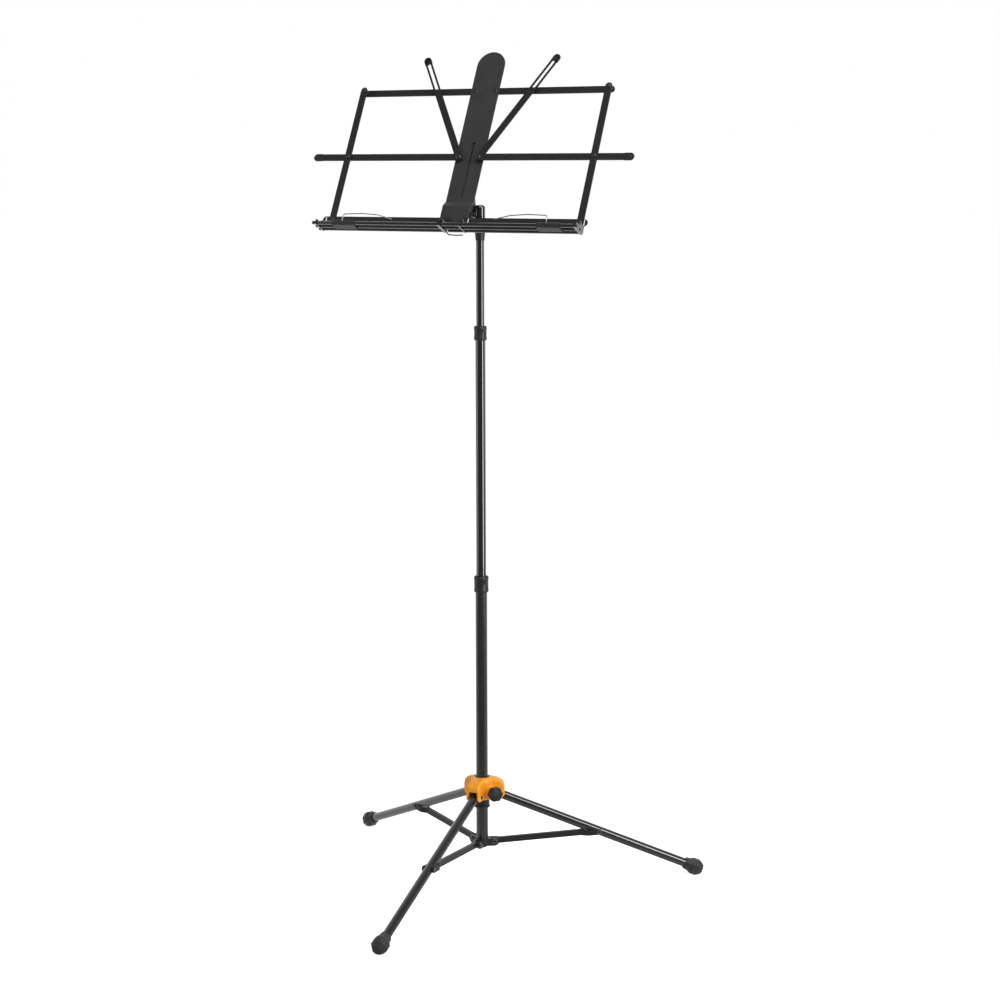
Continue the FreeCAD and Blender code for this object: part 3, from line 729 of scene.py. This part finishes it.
class STAND_OT_struts(bpy.types.Operator):
    """Fold the struts, narrow in the collar and forked round the leg"""
    bl_idname = "stand.struts"
    bl_label = "Struts"

    def execute(self, context):
        for n in LEGS:
            joint = JOINTS["strut_%d_fold" % n]
            start, across = Vector(joint["pos_m"]), Vector(joint["axis"])
            low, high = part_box("leg_rivet_%d" % n)
            along = (low + high) / 2 - start
            length = 1000 * along.length
            along.normalize()
            rise = across.cross(along)
            if rise.z < 0:
                rise.negate()
            shape = bmesh.new()
            for s in (-1, 1):
                self.cheek(shape, s, length)
            self.web(shape, length)
            mesh = bpy.data.meshes.new("strut")
            shape.to_mesh(mesh)
            shape.free()
            for vertex in mesh.vertices:
                x, y, z = vertex.co
                vertex.co = start + mm(1) * (along * x + across * y + rise * z)
            obj = show("strut_%d_folded" % n, mesh)
            obj.data.materials.append(finish_of("strut_black"))
            tidy_normals(obj)
            round_edges(obj, context.scene.stand_sizes.bar_edge)
            settle(obj, "strut_%d" % n)
        return {"FINISHED"}

    def cheek(self, shape, s, length):
        """One side of the strut: (along, across, up) in millimetres from the collar pin."""
        half, inner, thick, spread_by = 4.0, 1.0, 1.3, 5.45
        bend = (length - 26.0, length - 15.0)
        ends = [half * math.sin(math.radians(15 * k)) for k in range(7)]
        stations = [-e for e in reversed(ends)] + [bend[0] * k / 6 for k in range(1, 7)]
        stations += [bend[0] + (bend[1] - bend[0]) * k / 8 for k in range(1, 9)]
        stations += [length + e for e in ends]
        rows = []
        for x in stations:
            past = max(-x, x - length, 0.0)
            tall = math.sqrt(max(half ** 2 - past ** 2, 0.0004))
            t = min(max((x - bend[0]) / (bend[1] - bend[0]), 0.0), 1.0)
            y = inner + spread_by * t * t * (3 - 2 * t)
            rows.append([shape.verts.new((x, s * a, b)) for a, b in (
                (y, -tall), (y + thick, -tall), (y + thick, tall), (y, tall))])
        for a, b in zip(rows, rows[1:]):
            for k in range(4):
                shape.faces.new((a[k], a[(k + 1) % 4], b[(k + 1) % 4], b[k]))
        shape.faces.new(rows[0])
        shape.faces.new(rows[-1])

    def web(self, shape, length):
        """Top of the channel that joins the cheeks as far as the fork."""
        bmesh.ops.create_cube(shape, size=1.0, matrix=Matrix.Translation(((8.0 + length - 29.0) / 2, 0, 3.3))
                              @ Matrix.Diagonal((length - 37.0, 2.3, 1.2, 1.0)))


class STAND_OT_eyelets(bpy.types.Operator):
    """Turn the hollow rivets of the legs and the bottom collar"""
    bl_idname = "stand.eyelets"
    bl_label = "Hollow rivets"

    def execute(self, context):
        made = []
        for n in LEGS:
            axis = Vector(JOINTS["strut_%d_fold" % n]["axis"])
            low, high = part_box("leg_rivet_%d" % n)
            across = 1000 * self.reach("strut_%d" % n, axis, (low + high) / 2)
            rivet = turn("leg_rivet_%d_rolled" % n, self.profile(across), [(low + high) / 2], axis, "bright_steel")
            settle(rivet, "leg_rivet_%d" % n)
            at = Vector(JOINTS["strut_%d_fold" % n]["pos_m"])
            made.append(turn("collar_rivet_%d" % n, self.profile(7.35), [at], axis, "bright_steel"))
        settle(merge("collar_rivets_rolled", made), "collar_rivets")
        return {"FINISHED"}

    def reach(self, node, axis, centre):
        """Half the length of a rivet along its axis."""
        return max((v.co - centre).dot(axis) for v in NODES[node].data.vertices)

    def profile(self, half):
        """Tube with a head rolled over at each end."""
        roll, bore, shank, outer = 0.62, 1.15, 2.0, 3.6
        top = [(outer, half - roll)] + arc(outer - roll, half - roll, roll, 0, 90, 4)
        top += arc(bore + roll + 0.2, half - roll, roll, 90, 180, 4) + [(bore, half - 1.8)]
        bottom = [(r, -h) for r, h in reversed(top)]
        under = half - 2 * roll
        return [(shank, -under), (shank, under), (outer, under)] + top + bottom + [(outer, -under), (shank, -under)]


# ---------------------------------------------------------------- desk

class Desk:
    """Directions of the desk and places on it, read from the joints of the frame."""
    def __init__(self):
        joint = JOINTS["right_wing_fold"]
        self.front = Vector(joint["axis"])
        self.right = Vector((1.0, 0.0, 0.0))
        self.up = self.front.cross(self.right)

    def depth(self, node, end=max):
        """Depth of a node's front or back face, forwards, in metres."""
        return end(v.co.dot(self.front) for v in NODES[node].data.vertices)

    def at(self, joint, depth):
        """Point on a joint's axis at a depth."""
        place = Vector(JOINTS[joint]["pos_m"])
        return place + self.front * (depth - place.dot(self.front))

    def spot(self, place, depth):
        return place + self.front * (depth - place.dot(self.front))

    def tip(self, node, hinge, out, width=0.0095):
        """Centre of the round end of a flat bar."""
        reach = max((v.co - hinge).dot(out) for v in NODES[node].data.vertices)
        return hinge + out * (reach - width / 2)

    def plate(self, name, outline, back, front, edge):
        """Flat plate between two depths from points that lie on the desk."""
        shape = bmesh.new()
        low = [shape.verts.new(self.spot(p, back)) for p in outline]
        high = [shape.verts.new(self.spot(p, front)) for p in outline]
        shape.faces.new(low)
        shape.faces.new(high)
        for k in range(len(outline)):
            n = (k + 1) % len(outline)
            shape.faces.new((low[k], low[n], high[n], high[k]))
        mesh = bpy.data.meshes.new(name)
        shape.to_mesh(mesh)
        shape.free()
        return round_edges(tidy_normals(show(name, mesh)), edge)

    def tongue(self, name, end, out, width, length, back, front, edge):
        """Sleeve with a round end about a point and a square end behind it."""
        aside = out.cross(self.front)
        angles = [math.radians(-90 + 15 * k) for k in range(13)]
        outline = [end + (out * math.cos(a) + aside * math.sin(a)) * (width / 2) for a in angles]
        outline += [end - out * length + aside * (width / 2), end - out * length - aside * (width / 2)]
        return self.plate(name, outline, back, front, edge)


class STAND_OT_head(bpy.types.Operator):
    """Finish the mast head and its socket"""
    bl_idname = "stand.head"
    bl_label = "Mast head"

    def execute(self, context):
        eased("head_socket", mm(0.4))
        dress("mast_head")
        return {"FINISHED"}


class STAND_OT_bars(bpy.types.Operator):
    """Finish the flat bars of both wings with their caps"""
    bl_idname = "stand.bars"
    bl_label = "Desk bars"

    def execute(self, context):
        edge = context.scene.stand_sizes.bar_edge
        for side, s in SIDES:
            for bar in ("top_bar", "middle_bar", "side_bar", "brace", "ledge_bar"):
                eased("%s_%s" % (side, bar), edge)
            self.middle_cap(side, s, edge)
            self.brace_tip(side, s, edge)
        return {"FINISHED"}

    def middle_cap(self, side, s, edge):
        """Folded end of the middle bar with its small pin."""
        desk = Desk()
        hinge = Vector(JOINTS[side + "_middle_bar_fold"]["pos_m"])
        out = desk.right * s
        end = desk.tip(side + "_middle_bar", hinge, out)
        back, front = desk.depth(side + "_middle_bar_cap", min), desk.depth(side + "_middle_bar_cap")
        cap = desk.tongue(side + "_middle_bar_end", end, out, mm(10.2), mm(8.5), back, front, edge)
        pin = turn(side + "_end_pin", [(r, h) for r, h in reversed(domed(1.5, 0.5))] + [(1.5, -0.4), (0.0, -0.4)],
                   [desk.spot(end, front)], desk.front, "dark_rivet", segments=24)
        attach(pin, BODY_OF[side + "_middle_bar"])
        settle(cap, side + "_middle_bar_cap", slot="desk_black")

    def brace_tip(self, side, s, edge):
        """Sleeve on the end of the brace."""
        desk = Desk()
        hinge = Vector(JOINTS[side + "_brace_fold"]["pos_m"])
        lean = math.radians(JOINTS[side + "_brace_fold"]["range_deg"][1] - 0.1)
        out = desk.right * (s * math.sin(lean)) + desk.up * math.cos(lean)
        end = desk.tip(side + "_brace", hinge, out)
        back, front = desk.depth(side + "_brace_tip", min), desk.depth(side + "_brace_tip")
        tip = desk.tongue(side + "_brace_end", end, out, mm(10.5), mm(6.0), back, front, edge)
        settle(tip, side + "_brace_tip", slot="black_rubber")


class STAND_OT_spine(bpy.types.Operator):
    """Finish the spine plate and its bracket"""
    bl_idname = "stand.spine"
    bl_label = "Spine plate"

    def execute(self, context):
        eased("spine_plate", context.scene.stand_sizes.plate_edge, "spine")
        eased("spine_bracket", mm(0.4), "spine")
        # dark strip behind the slot: painted shade inside the slot
        self.track()
        return {"FINISHED"}

    def track(self):
        """Dark strip behind the slot of the spine, down to its bracket; it is painted shade that stands for the shadow
        inside the slot.
        """
        desk = Desk()
        foot = (Vector(JOINTS["left_wing_fold"]["pos_m"]) + Vector(JOINTS["right_wing_fold"]["pos_m"])) / 2
        plate_back = desk.depth("spine_plate", min) + mm(0.0)
        corners = [(-5.5, 82.0), (8.5, 82.0), (8.5, 118.0), (5.0, 122.0), (-2.0, 122.0), (-5.5, 118.0)]
        outline = [foot + desk.right * mm(u) + desk.up * mm(v) for u, v in corners]
        shade_strip = desk.plate("spine_slot_track", outline, plate_back - mm(1.4), plate_back - mm(0.05), mm(0.3))
        # dark nylon on this strip is painted shade, so that the slot reads dark
        shade_strip.data.materials.append(finish_of("black_plastic"))
        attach(shade_strip, BODY_OF["spine_plate"])


class STAND_OT_rivets(bpy.types.Operator):
    """Turn the domed rivets, spacers and pins of the desk"""
    bl_idname = "stand.rivets"
    bl_label = "Desk rivets"

    def execute(self, context):
        desk, sizes = Desk(), context.scene.stand_sizes
        spine = self.spine(desk, sizes)
        settle(merge("spine_rivets_set", spine), "spine_rivets")
        for side, s in SIDES:
            self.wing(desk, sizes, side, s)
        return {"FINISHED"}

    def stack(self, head, height, front, steps):
        """Profile of a rivet from its crown back; steps are (radius, depth) rings below the head."""
        shift = [(r, h + front) for r, h in domed(head, height)]
        outline = list(reversed(shift)) + [(head, front - 0.3)]
        for r, depth in steps:
            outline.append((r, depth))
        return outline + [(0.0, steps[-1][1])]

    def row(self, name, desk, joints, profile):
        """Rivets of one kind on the axes of several joints, with depths measured from the desk's origin."""
        return turn(name, profile, [desk.at(j, 0.0) for j in joints], desk.front, "dark_rivet", segments=32)

    def spine(self, desk, sizes):
        front = 1000 * desk.depth("right_ledge_bar")
        plate = 1000 * desk.depth("spine_plate")
        back = 1000 * desk.depth("spine_plate", min)
        low = self.stack(1000 * sizes.head_low, 1.7, front + 0.3, [
            (1.75, front - 0.0), (1.75, front - 1.85), (4.0, front - 1.85), (4.0, plate + 0.0),
            (1.75, plate), (1.75, plate - 1.5), (3.0, plate - 1.5), (3.0, plate - 2.5)])
        bar = 1000 * desk.depth("right_middle_bar")
        brace = 1000 * desk.depth("right_brace", min)
        upper = back + 1.5
        middle = self.stack(1000 * sizes.head_middle, 1.7, bar + 0.3, [
            (1.75, bar), (1.75, brace - 0.3), (4.5, brace - 0.3), (4.5, upper), (1.75, upper),
            (1.75, upper - 1.5), (3.0, upper - 1.5), (3.0, upper - 2.3)])
        rear = 1000 * desk.depth("right_top_bar", min)
        top = self.stack(1000 * sizes.head_top, 1.2, upper, [
            (1.75, upper - 0.3), (1.75, rear - 0.3), (3.2, rear - 0.3), (3.2, rear - 1.2)])
        rows = (("low", "wing_fold", low), ("middle", "middle_bar_fold", middle), ("top", "top_bar_fold", top))
        return [self.row("rivets_" + name, desk, ["left_" + joint, "right_" + joint], profile)
                for name, joint, profile in rows]

    def wing(self, desk, sizes, side, s):
        bar = 1000 * desk.depth(side + "_side_bar")
        back = 1000 * desk.depth(side + "_side_bar", min)
        rear = 1000 * desk.depth(side + "_top_bar", min)
        fore = 1000 * desk.depth(side + "_top_bar")
        foot = Vector(JOINTS[side + "_side_bar_fold"]["pos_m"])
        climb = Vector(JOINTS[side + "_top_bar_fold"]["pos_m"]) - Vector(JOINTS[side + "_wing_fold"]["pos_m"])
        corner = desk.spot(foot + desk.up * climb.dot(desk.up), 0.0)
        head = self.stack(1000 * sizes.head_corner, 1.5, bar + 0.3, [
            (1.75, bar), (1.75, back - 0.3), (3.2, back - 0.3), (3.2, fore), (1.75, fore),
            (1.75, rear), (3.0, rear), (3.0, rear - 0.9)])
        pins = [turn(side + "_corner", head, [corner], desk.front, "dark_rivet", segments=32)]
        brace = 1000 * desk.depth(side + "_brace")
        under = 1000 * desk.depth(side + "_brace", min)
        hinge = Vector(JOINTS[side + "_top_bar_fold"]["pos_m"])
        guide = desk.spot(hinge + desk.right * s * self.guide_reach(side), 0.0)
        post = [(0.0, brace - 0.15), (1.3, brace - 0.2), (1.75, brace - 0.6), (1.75, under - 0.3),
                (2.5, under - 0.3), (2.5, fore), (1.75, fore), (1.75, rear), (3.0, rear), (3.0, rear - 0.9),
                (0.0, rear - 0.9)]
        pins.append(turn(side + "_guide", post, [guide], desk.front, "dark_rivet", segments=32))
        settle(merge(side + "_top_bar_pins_set", pins), side + "_top_bar_pins")
        low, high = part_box(side + "_cross_rivet")
        cross = desk.spot((low + high) / 2, 0.0)
        centre = 1000 * desk.depth(side + "_middle_bar")
        head = self.stack(1000 * sizes.head_cross, 1.4, bar + 0.3, [
            (1.75, bar), (1.75, back - 0.3), (3.2, back - 0.3), (3.2, centre), (1.75, centre),
            (1.75, centre - 1.5)])
        rivet = turn(side + "_cross_rivet_set", head, [cross], desk.front, "dark_rivet", segments=32)
        settle(rivet, side + "_cross_rivet")
        front = 1000 * desk.depth(side + "_ledge_bar")
        head = self.stack(1000 * sizes.head_corner, 1.5, front, [(1.75, front - 0.3), (1.75, back)])
        rivet = self.row(side + "_ledge_rivet_set", desk, [side + "_side_bar_fold"], head)
        settle(rivet, side + "_ledge_rivet")

    def guide_reach(self, side):
        """Distance from the top bar's hinge to the guide pin, where the brace crosses the bar."""
        fold = math.radians(JOINTS[side + "_brace_fold"]["range_deg"][1] - 0.1)
        rise = Vector(JOINTS[side + "_top_bar_fold"]["pos_m"]) - Vector(JOINTS[side + "_middle_bar_fold"]["pos_m"])
        return math.tan(fold) * rise.dot(Desk().up)


class STAND_OT_ledge(bpy.types.Operator):
    """Finish the ledge rods, their cross plates and the rubber sleeves"""
    bl_idname = "stand.ledge"
    bl_label = "Ledge"

    def execute(self, context):
        for side, s in SIDES:
            eased(side + "_ledge_rods", mm(0.6))
            self.plates(side)
            eased(side + "_page_sleeve", mm(0.5))
        return {"FINISHED"}

    def plates(self, side):
        """Cross plates under the rods, cut off at the ledge bar's lower edge."""
        desk, node = Desk(), side + "_ledge_plates"
        bar = min(v.co.dot(desk.up) for v in NODES[side + "_ledge_bar"].data.vertices)
        mesh = whole(node)
        shape = bmesh.new()
        shape.from_mesh(mesh)
        cut = bmesh.ops.bisect_plane(shape, geom=shape.verts[:] + shape.edges[:] + shape.faces[:], clear_outer=True,
                                     plane_co=desk.up * (bar + mm(0.2)), plane_no=desk.up)
        bmesh.ops.contextual_create(shape, geom=[e for e in cut["geom_cut"] if isinstance(e, bmesh.types.BMEdge)])
        shape.to_mesh(mesh)
        shape.free()
        settle(round_edges(show(node + "_cut", mesh), mm(0.35)), node, slot="rod_black")


class STAND_OT_wires(bpy.types.Operator):
    """Bend the spring wires that hold the pages"""
    bl_idname = "stand.wires"
    bl_label = "Page wires"
    frame_wire = 0.8

    def execute(self, context):
        desk, sizes = Desk(), context.scene.stand_sizes
        for side, s in SIDES:
            root = Vector(JOINTS[side + "_page_wire_turn"]["pos_m"])
            out = 1000 * (desk.depth(side + "_page_wire") - root.dot(desk.front)) - self.frame_wire
            path = [(0, 0, -1.4), (0, 0, out), (0, 8.5, out), (2, 10.4, out), (28, 11.4, out),
                    (52, 9.6, out), (74, 4.0, out)]
            points = [root - desk.right * s * mm(u) + desk.up * mm(v) + desk.front * mm(w) for u, v, w in path]
            links = [(k, k + 1) for k in range(len(path) - 1)]
            values = {"Wire Radius": sizes.wire_radius, "Bend Radius": sizes.wire_bend,
                      "Material": finish_of("spring_wire")}
            wire = run_tree(side + "_page_wire_bent", points, links, tree_named("wire"), values)
            settle(tidy_normals(wire), side + "_page_wire")
        return {"FINISHED"}


# ---------------------------------------------------------------- stage

FLOOR_GLOW = 0.81


def aim(obj, place, target):
    """Put a lamp at a place, facing a target."""
    obj.location = place
    obj.rotation_euler = (Vector(target) - Vector(place)).to_track_quat("-Z", "Y").to_euler()


class STAND_OT_stage(bpy.types.Operator):
    """Set up the floor, lights and camera"""
    bl_idname = "stand.stage"
    bl_label = "Stage"

    def execute(self, context):
        stage = context.scene.stand_stage
        self.floor(stage)
        self.world(stage)
        self.lamps(stage)
        self.camera(context.scene, stage)
        context.scene.view_settings.view_transform = "Standard"
        return {"FINISHED"}

    def shiny(self, tree, path):
        """1 for glossy and transmitted rays, which see the floor and the room by themselves."""
        return math_node(tree, "MAXIMUM", path["Is Glossy Ray"], path["Is Transmission Ray"])

    def behind(self, stage):
        """Direction along the floor from the camera's side to the far side of the stand."""
        return (-math.cos(stage.azimuth), -math.sin(stage.azimuth), 0.0)

    def floor(self, stage):
        size = 30.0
        mesh = bpy.data.meshes.new("floor")
        mesh.from_pydata([(-size, -size, 0), (size, -size, 0), (size, size, 0), (-size, size, 0)], [], [(0, 1, 2, 3)])
        floor = show("floor", mesh)
        material = bpy.data.materials.new("pale_studio_floor")
        material.use_nodes = True
        tree = material.node_tree
        tree.nodes.clear()
        path = add(tree, "ShaderNodeLightPath").outputs
        matt = add(tree, "ShaderNodeBsdfDiffuse", {"Color": (0.8, 0.8, 0.8, 1.0)}).outputs[0]
        glow = add(tree, "ShaderNodeEmission", {"Color": (1.0, 1.0, 1.0, 1.0), "Strength": FLOOR_GLOW}).outputs[0]
        bright = add(tree, "ShaderNodeAddShader", {0: matt, 1: glow}).outputs[0]
        place = add(tree, "ShaderNodeNewGeometry").outputs["Position"]
        away = add(tree, "ShaderNodeVectorMath", {0: place, 1: self.behind(stage)}, operation="DOT_PRODUCT")
        dim = add(tree, "ShaderNodeMapRange", {"Value": away.outputs["Value"], "From Min": -0.6, "From Max": 0.6,
                                               "To Min": stage.room, "To Max": 1.0}).outputs["Result"]
        gloss = add(tree, "ShaderNodeEmission", {"Color": (1.0, 1.0, 1.0, 1.0), "Strength": dim}).outputs[0]
        rays = add(tree, "ShaderNodeMixShader", {0: self.shiny(tree, path), 1: matt, 2: gloss}).outputs[0]
        mixed = add(tree, "ShaderNodeMixShader", {0: path["Is Camera Ray"], 1: rays, 2: bright}).outputs[0]
        add(tree, "ShaderNodeOutputMaterial", {"Surface": mixed})
        mesh.materials.append(material)

    def world(self, stage):
        world = bpy.data.worlds.new("studio")
        bpy.context.scene.world = world
        world.use_nodes = True
        tree = world.node_tree
        tree.nodes.clear()
        even = add(tree, "ShaderNodeBackground", {"Color": (1.0, 1.0, 1.0, 1.0), "Strength": stage.ambient})
        white = add(tree, "ShaderNodeBackground", {"Color": (1.0, 1.0, 1.0, 1.0), "Strength": 1.0})
        look = add(tree, "ShaderNodeTexCoord").outputs["Generated"]
        facing = add(tree, "ShaderNodeVectorMath", {0: look, 1: self.behind(stage)}, operation="DOT_PRODUCT").outputs["Value"]
        share = add(tree, "ShaderNodeMapRange", {"Value": facing, "From Min": 0.0, "From Max": 0.9,
                                                 "To Min": stage.room, "To Max": 1.0}).outputs["Result"]
        gloss = add(tree, "ShaderNodeBackground", {"Color": (1.0, 1.0, 1.0, 1.0), "Strength": share})
        path = add(tree, "ShaderNodeLightPath").outputs
        rays = add(tree, "ShaderNodeMixShader", {0: self.shiny(tree, path), 1: even.outputs[0], 2: gloss.outputs[0]}).outputs[0]
        mixed = add(tree, "ShaderNodeMixShader", {0: path["Is Camera Ray"], 1: rays, 2: white.outputs[0]})
        add(tree, "ShaderNodeOutputWorld", {"Surface": mixed.outputs[0]})

    def lamps(self, stage):
        around = math.degrees(stage.azimuth)
        self.softbox("key", stage.key, around + 52, 1.7, 1.0, 0.5, 2.0)
        self.softbox("fill", stage.fill, around - 76, 1.8, 1.0, 0.4, 2.0)
        self.softbox("top", stage.top, around + 12, 1.3, 2.7, 1.7, 1.0)

    def softbox(self, name, power, azimuth, distance, height, width, tall):
        data = bpy.data.lights.new(name, "AREA")
        data.shape = "RECTANGLE"
        data.size, data.size_y = width, tall
        data.energy = power
        lamp = bpy.data.objects.new(name, data)
        bpy.context.scene.collection.objects.link(lamp)
        a = math.radians(azimuth)
        aim(lamp, (distance * math.cos(a), distance * math.sin(a), height), (0.0, 0.0, 0.6))

    def camera(self, scene, stage):
        data = bpy.data.cameras.new("camera")
        data.lens = stage.lens
        data.sensor_width = 36.0
        data.shift_y = stage.shift
        data.clip_start, data.clip_end = 0.1, 100.0
        camera = bpy.data.objects.new("camera", data)
        scene.collection.objects.link(camera)
        a = stage.azimuth
        place = Matrix.Translation((stage.distance * math.cos(a), stage.distance * math.sin(a), stage.height))
        heading = Matrix.Rotation(a + math.pi + stage.aim - math.pi / 2, 4, "Z")
        lean = Matrix.Rotation(math.pi / 2 - stage.pitch, 4, "X")
        camera.matrix_world = place @ heading @ lean @ Matrix.Rotation(stage.roll, 4, "Z")
        scene.camera = camera


class STAND_PT_panel(bpy.types.Panel):
    """Steps, colours and sizes of the stand"""
    bl_idname = "STAND_PT_panel"
    bl_label = "Music stand"
    bl_space_type = "VIEW_3D"
    bl_region_type = "UI"
    bl_category = "Stand"

    def draw(self, context):
        for step in STEPS:
            self.layout.operator(step.bl_idname)
        for group in (context.scene.stand_colours, context.scene.stand_sizes, context.scene.stand_stage):
            box = self.layout.box()
            for key in group.bl_rna.properties.keys():
                if key not in ("rna_type", "name"):
                    box.prop(group, key)


STEPS = (STAND_OT_mast, STAND_OT_collars, STAND_OT_hub, STAND_OT_knobs, STAND_OT_tripod, STAND_OT_struts,
         STAND_OT_eyelets,         STAND_OT_head, STAND_OT_bars, STAND_OT_spine, STAND_OT_rivets, STAND_OT_ledge, STAND_OT_wires,
         STAND_OT_stage)
GROUPS = {"stand_colours": StandColours, "stand_sizes": StandSizes, "stand_stage": StageSettings}


def register():
    for cls in (*GROUPS.values(), *STEPS, STAND_PT_panel):
        bpy.utils.register_class(cls)
    for name, group in GROUPS.items():
        setattr(bpy.types.Scene, name, PointerProperty(type=group))


def unregister():
    for name in GROUPS:
        delattr(bpy.types.Scene, name)
    for cls in (STAND_PT_panel, *reversed(STEPS), *GROUPS.values()):
        bpy.utils.unregister_class(cls)


def main():
    register()
    for step in STEPS:
        family, name = step.bl_idname.split(".")
        getattr(getattr(bpy.ops, family), name)()


if __name__ == "__main__":
    main()
